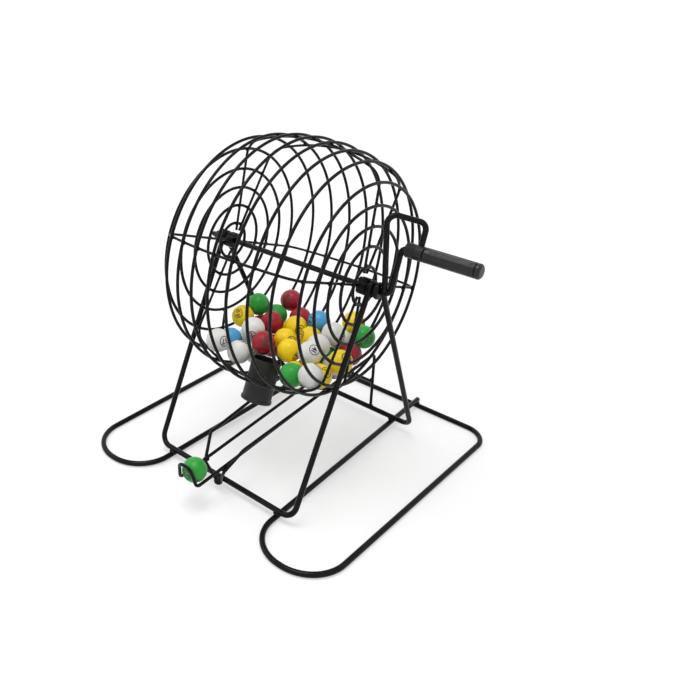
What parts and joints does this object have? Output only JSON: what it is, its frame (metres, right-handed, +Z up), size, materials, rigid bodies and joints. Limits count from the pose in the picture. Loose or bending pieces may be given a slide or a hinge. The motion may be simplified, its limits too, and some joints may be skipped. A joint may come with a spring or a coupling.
{
  "type": "raffle drum with crank",
  "caption": "Tabletop raffle drum: a wire cage of rings and ribs turns on a wire stand with a cranked axle, and an outlet tube drops numbered balls onto a sloping wire chute.",
  "frame": {"origin": "on the floor plane, straight under the middle of the cage's axle", "axes": "+X along the axle to the crank, +Y to the back, away from the chute's stop, +Z up"},
  "size_m": [0.3114, 0.2889, 0.3074],
  "materials": {
    "black_wire": "satin enamel",
    "black_plastic": "satin moulded",
    "ball_green": "slight gloss, printed numbers",
    "ball_yellow": "slight gloss, printed numbers",
    "ball_red": "slight gloss, printed numbers",
    "ball_blue": "slight gloss, printed numbers",
    "ball_white": "slight gloss, printed numbers",
    "ball_called": "slight gloss, printed number"
  },
  "bodies": {
    "stand": {"balls_blue": "ball_blue", "balls_green": "ball_green", "balls_red": "ball_red", "balls_white": "ball_white", "balls_yellow": "ball_yellow", "base_frame": "black_wire", "chute_cross_wire": "black_wire", "chute_guard": "black_wire", "chute_rails": "black_wire", "front_leg_frame": "black_wire", "rear_leg_frame": "black_wire"},
    "drum": {"axle_crank_wire": "black_wire", "axle_stop": "black_plastic", "axle_washer_left": "black_plastic", "axle_washer_right": "black_plastic", "cage_rib_1": "black_wire", "cage_rib_2": "black_wire", "cage_rib_3": "black_wire", "cage_rib_4": "black_wire", "cage_rib_5": "black_wire", "cage_rib_6": "black_wire", "cage_ring_01": "black_wire", "cage_ring_02": "black_wire", "cage_ring_03": "black_wire", "cage_ring_04": "black_wire", "cage_ring_05": "black_wire", "cage_ring_06": "black_wire", "cage_ring_07": "black_wire", "cage_ring_08": "black_wire", "cage_ring_09": "black_wire", "cage_ring_10": "black_wire", "cage_ring_11": "black_wire", "cage_ring_12": "black_wire", "cage_ring_13": "black_wire", "cage_ring_14": "black_wire", "cage_ring_15": "black_wire", "cage_ring_16": "black_wire", "cage_ring_17": "black_wire", "crank_brace": "black_wire", "crank_collar": "black_plastic", "grip_end_cap": "black_plastic", "hub_left": "black_wire", "hub_right": "black_wire", "outlet_tube": "black_plastic"},
    "grip": {"crank_grip": "black_plastic"},
    "ball": {"called_ball": "ball_called"}
  },
  "joints": [
    {"name": "drum_spin", "type": "hinge", "parent": "stand", "child": "drum", "pos_m": [0, 0, 0.192], "axis": [1, 0, 0], "continuous": true},
    {"name": "grip_spin", "type": "hinge", "parent": "drum", "child": "grip", "pos_m": [0.14345, 0.01368, 0.22959], "axis": [1, 0, 0], "continuous": true},
    {"name": "ball_slide", "type": "slide", "parent": "stand", "child": "ball", "axis": [0, 0.9967, 0.0818], "range_m": [0, 0.19]}
  ]
}
